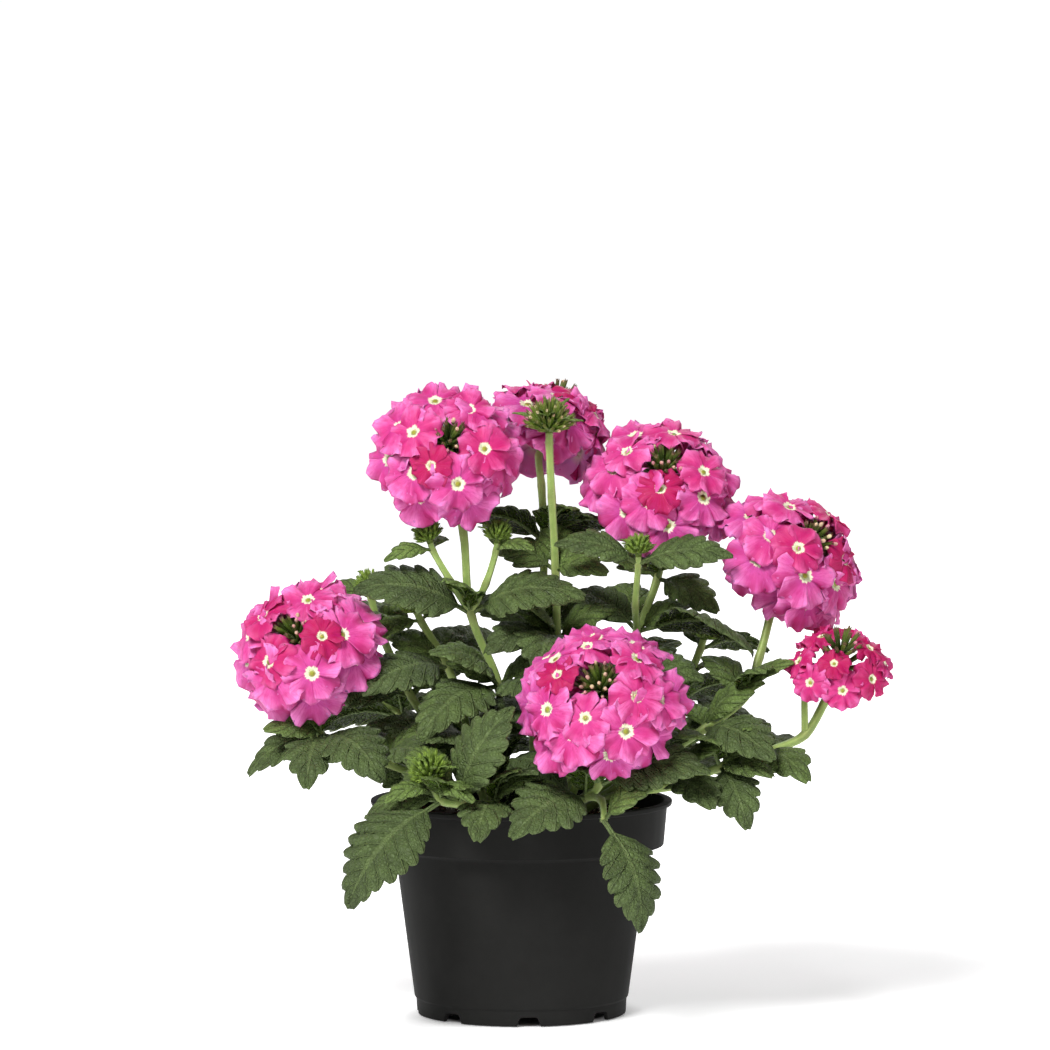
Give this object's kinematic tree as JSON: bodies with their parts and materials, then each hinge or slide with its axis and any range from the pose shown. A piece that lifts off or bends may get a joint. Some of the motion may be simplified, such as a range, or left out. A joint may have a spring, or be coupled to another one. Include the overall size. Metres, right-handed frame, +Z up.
{
  "type": "potted verbena",
  "caption": "Garden verbena in bloom with pink flower heads and toothed leaves, in a black round nursery pot.",
  "frame": {"origin": "middle of the pot's foot, on the surface that the pot stands on", "axes": "+Z up along the pot's axis, -Y towards the plant's front, +X towards its right-hand side seen from the front"},
  "size_m": [0.2647, 0.1791, 0.2547],
  "materials": {
    "pot_plastic": "satin",
    "potting_mix": "matte",
    "foliage": "satin",
    "calyx_green": "matte",
    "petals": "satin"
  },
  "bodies": {
    "root": {"pot": "pot_plastic", "potting_mix": "potting_mix", "stem_middle": "foliage", "stem_back_middle": "foliage", "stem_tall": "foliage", "stem_right_middle": "foliage", "stem_left": "foliage", "stem_left_back": "foliage", "stem_left_middle": "foliage", "stem_front_left": "foliage", "stem_front_right": "foliage", "stem_right": "foliage", "stem_right_low": "foliage", "stem_back_left": "foliage", "stem_back_right": "foliage", "stem_right_back": "foliage", "florets_middle": "petals", "florets_top": "petals", "florets_right_middle": "petals", "florets_left": "petals", "florets_front": "petals", "florets_right": "petals", "florets_right_low": "petals", "florets_back_left": "petals", "florets_back_right": "petals", "calyces_middle": "calyx_green", "calyces_top": "calyx_green", "calyces_right_middle": "calyx_green", "calyces_left": "calyx_green", "calyces_front": "calyx_green", "calyces_right": "calyx_green", "calyces_right_low": "calyx_green", "calyces_back_left": "calyx_green", "calyces_back_right": "calyx_green", "buds_middle_left": "calyx_green", "buds_middle_right": "calyx_green", "buds_tall": "calyx_green", "buds_right_middle_low": "calyx_green", "buds_left_back": "calyx_green", "buds_left_middle": "calyx_green", "buds_front_left": "calyx_green", "buds_right_low": "calyx_green", "buds_right_back": "calyx_green"}
  },
  "joints": []
}
